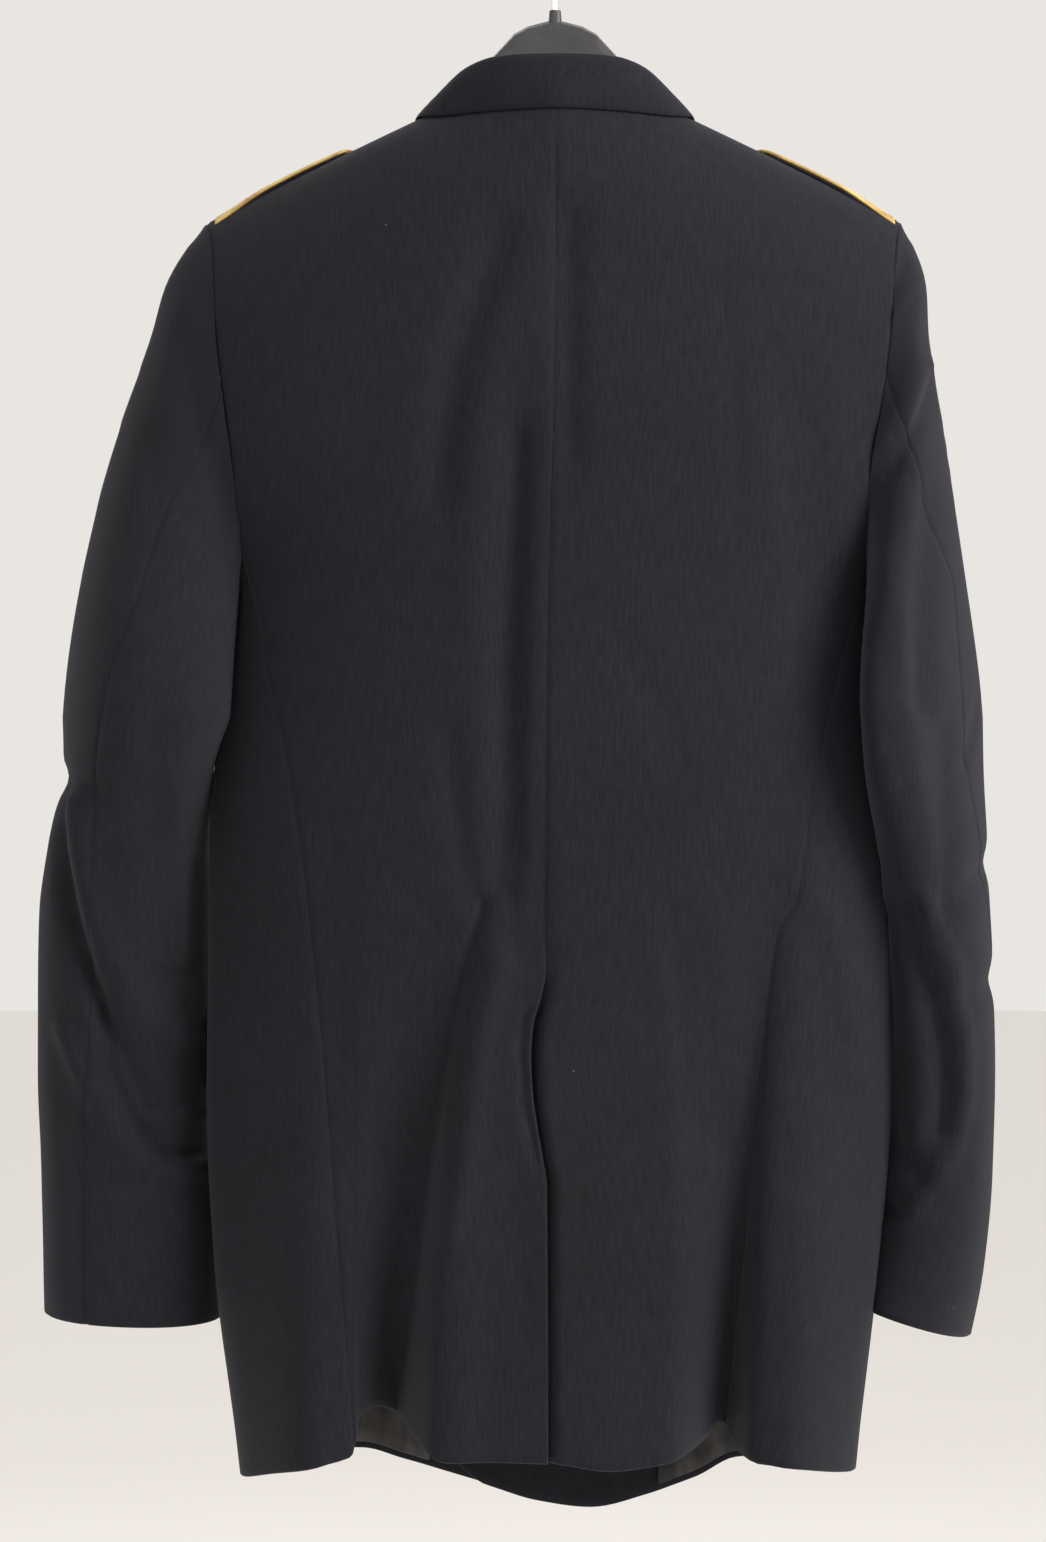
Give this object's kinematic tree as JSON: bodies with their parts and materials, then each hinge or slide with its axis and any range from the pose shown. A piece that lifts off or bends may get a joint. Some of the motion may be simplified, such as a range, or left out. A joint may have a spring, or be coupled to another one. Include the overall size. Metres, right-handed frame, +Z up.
{
  "type": "dress uniform jacket on a hanger",
  "caption": "Dark navy dress uniform jacket with a notched collar, gold-braided shoulder loops and a back vent, hanging on a plastic hanger with a wire hook.",
  "frame": {"origin": "top of the inside of the hanger's hook, where a peg or knob holds it", "axes": "+Z up, the jacket's front faces -Y and its back +Y, the wearer's left is +X"},
  "size_m": [0.571, 0.1794, 0.954],
  "materials": {
    "navy_wool": "matte",
    "satin_lining": "satin",
    "gold_braid": "satin",
    "gilt_button": "polished",
    "black_plastic": "satin",
    "hook_wire": "polished"
  },
  "bodies": {
    "root": {"back_left": "navy_wool", "back_right": "navy_wool", "side_left": "navy_wool", "side_right": "navy_wool", "front_left": "navy_wool", "front_right": "navy_wool", "lapel_left": "navy_wool", "lapel_right": "navy_wool", "collar": "navy_wool", "top_sleeve_left": "navy_wool", "top_sleeve_right": "navy_wool", "under_sleeve_left": "navy_wool", "under_sleeve_right": "navy_wool", "pocket_flap_left": "navy_wool", "pocket_flap_right": "navy_wool", "shoulder_loop_left": "navy_wool", "shoulder_loop_right": "navy_wool", "lining_left": "satin_lining", "lining_right": "satin_lining", "shoulder_braid_left": "gold_braid", "shoulder_braid_right": "gold_braid", "shoulder_button_left": "gilt_button", "shoulder_button_right": "gilt_button", "front_button_1": "gilt_button", "front_button_2": "gilt_button", "front_button_3": "gilt_button", "front_button_4": "gilt_button", "hanger_body": "black_plastic", "hanger_hook": "hook_wire"}
  },
  "joints": []
}
